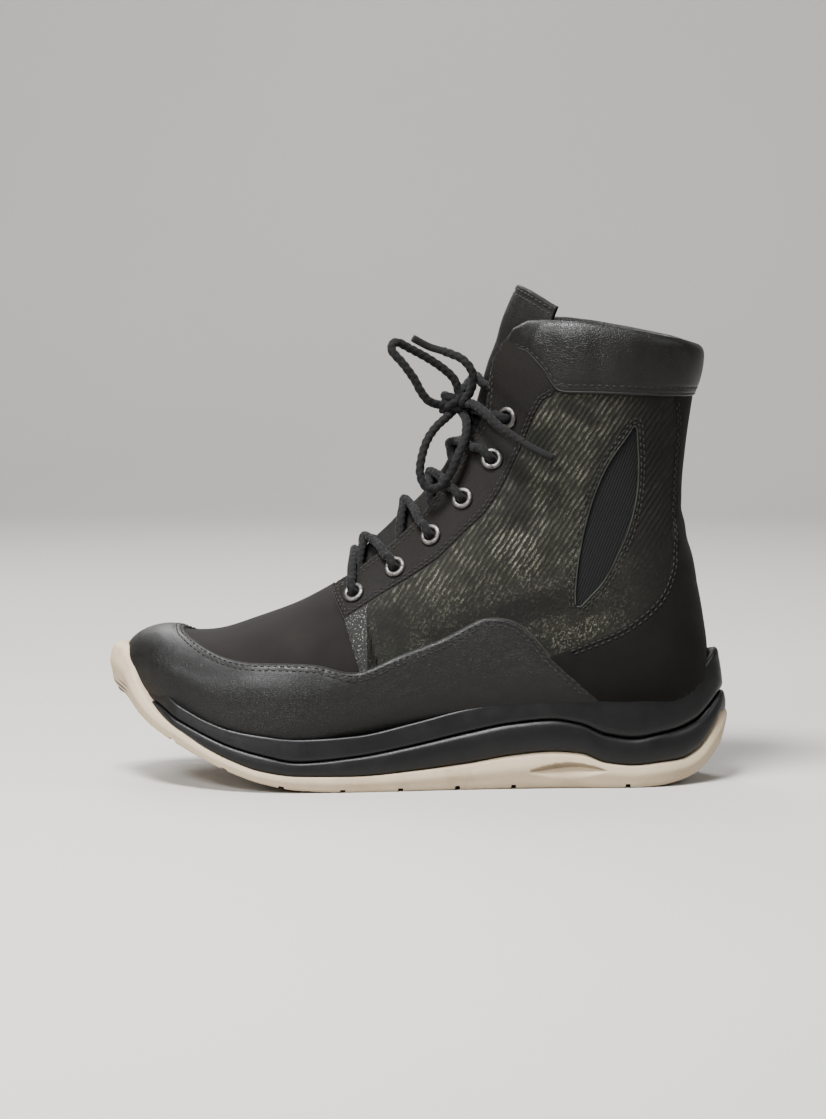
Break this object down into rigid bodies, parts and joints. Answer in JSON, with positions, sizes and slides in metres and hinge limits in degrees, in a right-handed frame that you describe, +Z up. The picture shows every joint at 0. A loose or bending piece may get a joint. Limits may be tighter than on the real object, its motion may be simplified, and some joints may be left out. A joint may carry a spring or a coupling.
{
  "type": "lace-up boot",
  "caption": "Black lace-up ankle boot, left foot, with a printed side panel, padded cuff, tied bow and curved midsole on a beige outsole.",
  "frame": {"origin": "centre of the boot's bounding box, on the floor", "axes": "+X from heel to toe, +Y to the wearer's left (the outer side), +Z up"},
  "size_m": [0.288, 0.1012, 0.2293],
  "materials": {
    "outsole_rubber": "matte beige rubber",
    "midsole_black": "satin black moulded foam",
    "vamp_nubuck": "matte black nubuck",
    "smooth_leather": "fine-grained black leather, soft gloss",
    "counter_leather": "deep matte black",
    "cuff_leather": "padded black leather, soft gloss",
    "printed_suede": "black suede with fine diagonal metallic print",
    "facing_leather": "matte brown-black leather",
    "glitter_leather": "black leather with glitter print",
    "tongue_leather": "padded black leather",
    "lining": "matte black lining",
    "eyelet_nickel": "aged nickel",
    "lace_cord": "round braided black lace"
  },
  "bodies": {
    "root": {"outsole": "outsole_rubber", "midsole_lower": "midsole_black", "midsole_upper": "midsole_black", "upper": "vamp_nubuck", "insole": "lining", "tongue": "tongue_leather", "rand": "smooth_leather", "heel_counter": "counter_leather", "collar_cuff": "cuff_leather", "quarter_lateral": "printed_suede", "eyestay_lateral": "facing_leather", "vamp_tab_lateral": "glitter_leather", "quarter_medial": "printed_suede", "eyestay_medial": "facing_leather", "vamp_tab_medial": "glitter_leather", "eyelet_lateral_1": "eyelet_nickel", "eyelet_lateral_2": "eyelet_nickel", "eyelet_lateral_3": "eyelet_nickel", "eyelet_lateral_4": "eyelet_nickel", "eyelet_lateral_5": "eyelet_nickel", "eyelet_lateral_6": "eyelet_nickel", "eyelet_medial_1": "eyelet_nickel", "eyelet_medial_2": "eyelet_nickel", "eyelet_medial_3": "eyelet_nickel", "eyelet_medial_4": "eyelet_nickel", "eyelet_medial_5": "eyelet_nickel", "eyelet_medial_6": "eyelet_nickel", "lace_bar": "lace_cord", "lace_cross_1": "lace_cord", "lace_cross_2": "lace_cord", "lace_cross_3": "lace_cord", "lace_cross_4": "lace_cord", "lace_cross_5": "lace_cord", "lace_lead": "lace_cord", "lace_knot": "lace_cord", "lace_loop_upper": "lace_cord", "lace_loop_lower": "lace_cord", "lace_end_upper": "lace_cord", "lace_end_rear": "lace_cord"}
  },
  "joints": []
}
